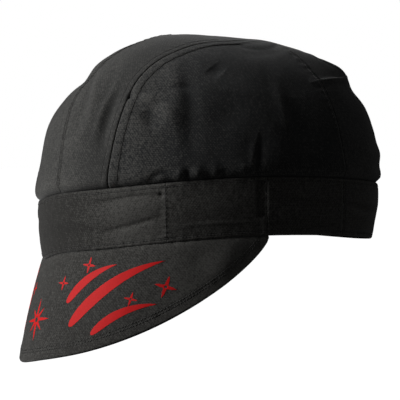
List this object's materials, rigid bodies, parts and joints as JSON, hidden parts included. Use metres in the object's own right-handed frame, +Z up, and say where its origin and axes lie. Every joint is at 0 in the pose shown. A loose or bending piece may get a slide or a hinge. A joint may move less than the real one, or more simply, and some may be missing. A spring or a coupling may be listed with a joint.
{
  "type": "welding cap",
  "caption": "Soft cotton cap with a low panelled crown, a wide band and a long drooping brim, worn under a welding helmet.",
  "frame": {"origin": "middle of the head opening, level with the band's lower edge at the sides, where a head comes in", "axes": "+Z up to the top of the crown, -Y to the front where the brim is, +X to the wearer's left"},
  "size_m": [0.1705, 0.2276, 0.1948],
  "materials": {
    "crown_cloth": "matte black cotton twill, washed",
    "band_cloth": "matte black cotton twill, folded double",
    "brim_cloth": "matte black cotton twill, quilted in two plies",
    "thread": "black spun polyester sewing thread",
    "print": "red plastisol print"
  },
  "bodies": {
    "root": {"crown_front_left": "crown_cloth", "crown_front_right": "crown_cloth", "crown_side_left": "crown_cloth", "crown_side_right": "crown_cloth", "crown_back": "crown_cloth", "band_front": "band_cloth", "band_side_left": "band_cloth", "band_side_right": "band_cloth", "band_rear_left": "band_cloth", "band_rear_right": "band_cloth", "band_back": "band_cloth", "brim": "brim_cloth"}
  },
  "joints": []
}
